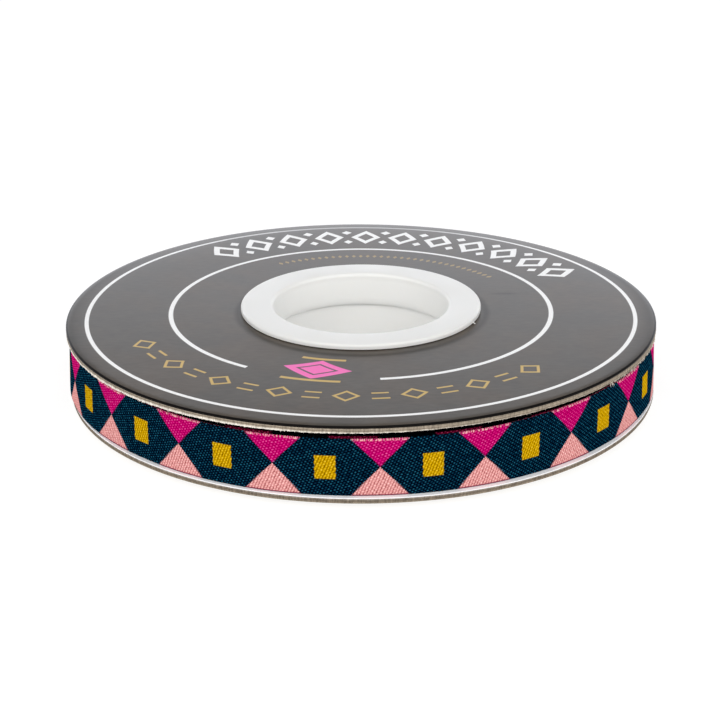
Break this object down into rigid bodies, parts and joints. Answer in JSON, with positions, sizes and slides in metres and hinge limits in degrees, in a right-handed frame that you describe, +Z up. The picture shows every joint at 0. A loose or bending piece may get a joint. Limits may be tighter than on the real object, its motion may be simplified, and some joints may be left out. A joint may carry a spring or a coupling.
{
  "type": "woven jacquard ribbon wound on a flat reel",
  "caption": "Flat round reel of narrow woven jacquard ribbon, wound between two board flanges clamped on a moulded hub with an open bore.",
  "frame": {"origin": "on the reel's axis, on the surface that the lower hub flange rests on", "axes": "+Z up along the reel's axis, towards the printed label; +X to the right and +Y away from the viewer of the picture"},
  "size_m": [0.1105, 0.11, 0.0161],
  "materials": {
    "ribbon": "woven polyester jacquard, dark teal ground with magenta, pink and mustard figures",
    "greyboard": "die-cut greyboard, layered cut edge",
    "label": "satin printed paper in warm dark grey with white and gold ornament",
    "facing": "plain white coated paper",
    "hub": "white moulded plastic, satin"
  },
  "bodies": {
    "root": {"ribbon_roll": "ribbon", "upper_board": "greyboard", "lower_board": "greyboard", "upper_label": "label", "lower_facing": "facing", "hub_upper_half": "hub", "hub_lower_half": "hub"}
  },
  "joints": []
}
